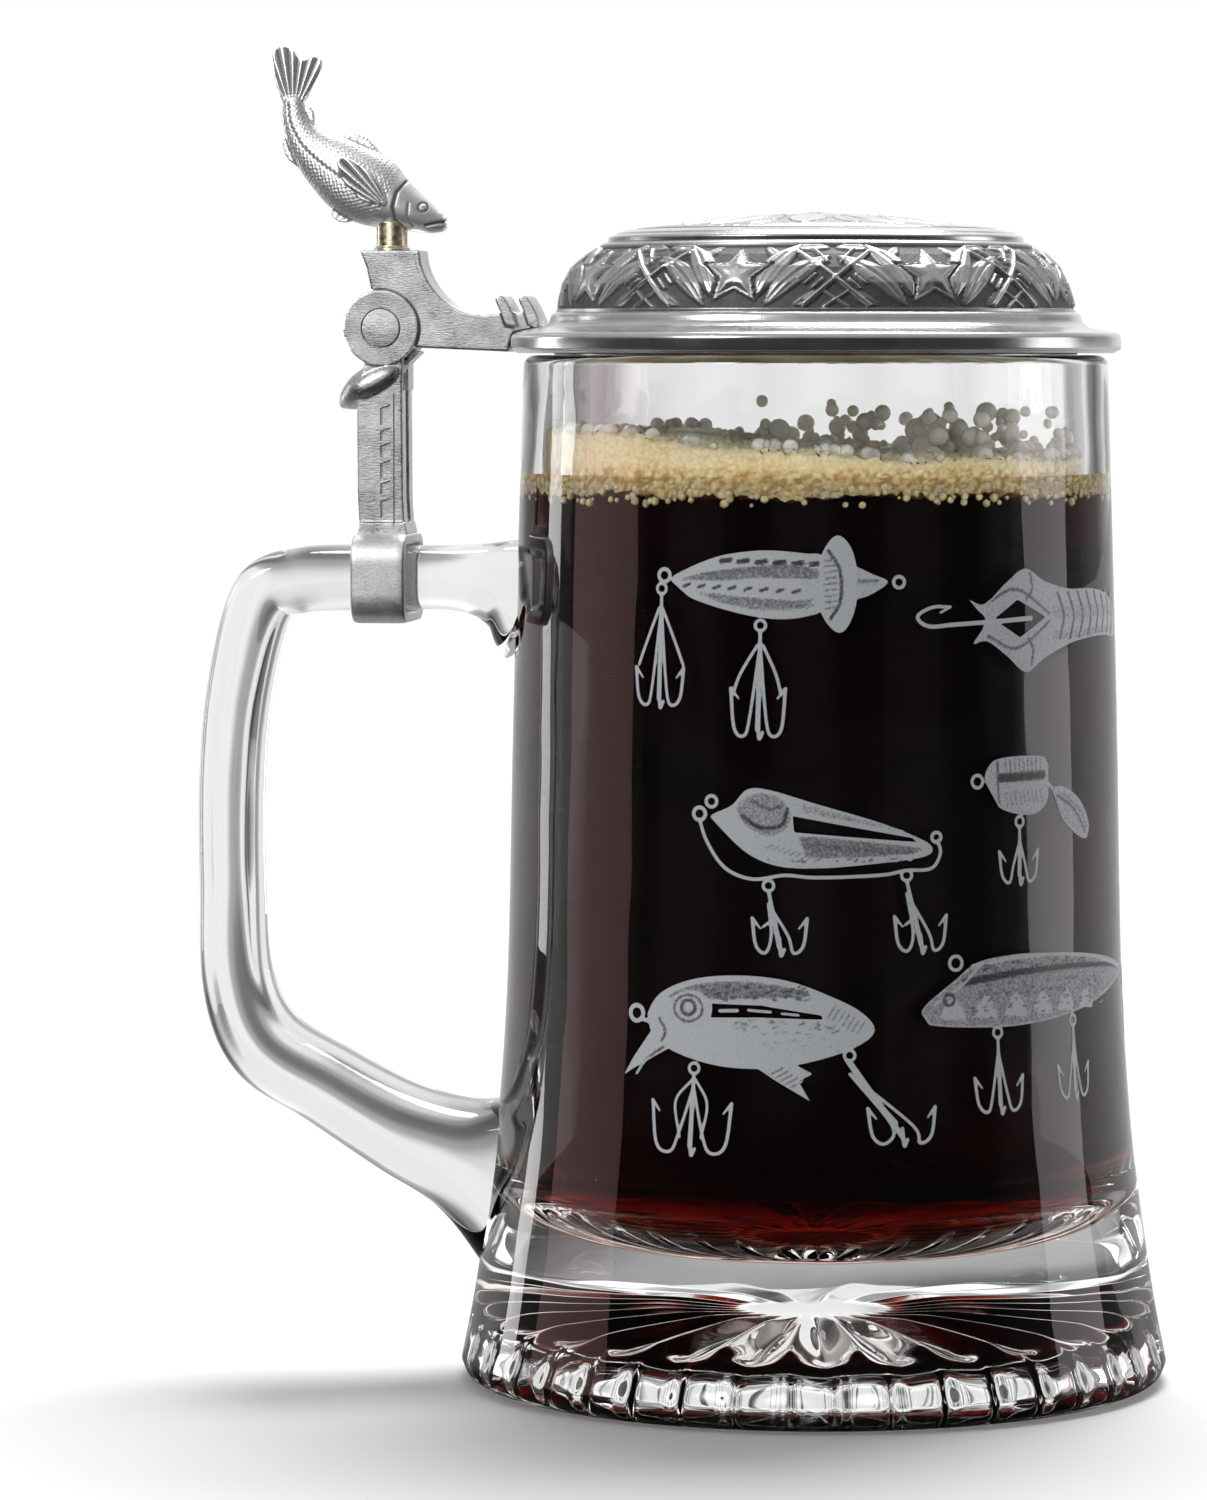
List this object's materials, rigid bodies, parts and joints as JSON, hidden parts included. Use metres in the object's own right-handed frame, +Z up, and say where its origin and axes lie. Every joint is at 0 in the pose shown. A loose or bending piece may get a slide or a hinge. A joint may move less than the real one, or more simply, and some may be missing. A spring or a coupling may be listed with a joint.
{
  "type": "lidded glass beer stein",
  "caption": "Flared glass stein with a bent glass handle, a hinged domed pewter lid with a relief band, and a cast fish as thumb-lift.",
  "frame": {"origin": "on the table plane, under the centre of the object's bounding box; the axis of the glass is 19.85 mm towards +X from it", "axes": "+Z up, along the axis of the glass; -X towards the handle and hinge; the object is symmetric about the XZ plane"},
  "size_m": [0.1448, 0.1048, 0.198],
  "materials": {
    "glass": "clear, fire-polished pressed glass",
    "cast_pewter": "cast pewter, filed and brushed by hand",
    "turned_pewter": "turned pewter with fine round tool lines, satin",
    "patina_pewter": "cast relief, dark in the ground and rubbed bright on the raised parts",
    "polished_pewter": "polished pewter",
    "fish_pewter": "cast pewter, bright with dark lines in the scales and fins",
    "steel_pin": "drawn steel wire",
    "brass": "pale brass, lightly tarnished",
    "enamel_print": "white enamel fired on the outside of the glass",
    "beer": "dark brown ale, red where light passes",
    "foam": "tan foam of small bubbles"
  },
  "bodies": {
    "root": {"glass_stein": "glass", "handle_strap": "cast_pewter", "hinge_shank": "cast_pewter", "hinge_pin": "steel_pin", "pin_plug_front": "cast_pewter", "pin_plug_rear": "cast_pewter"},
    "lid": {"lid_tang": "cast_pewter", "lid_rim": "turned_pewter", "lid_inner_lip": "turned_pewter", "lid_relief_band": "patina_pewter", "lid_top_ring": "polished_pewter", "lid_medallion": "polished_pewter", "thumblift_post": "brass", "thumblift_fish": "fish_pewter"}
  },
  "joints": [
    {"name": "lid_hinge", "type": "hinge", "parent": "root", "child": "lid", "pos_m": [-0.04435, 0, 0.1561], "axis": [0, -1, 0], "range_deg": [0, 100]}
  ]
}
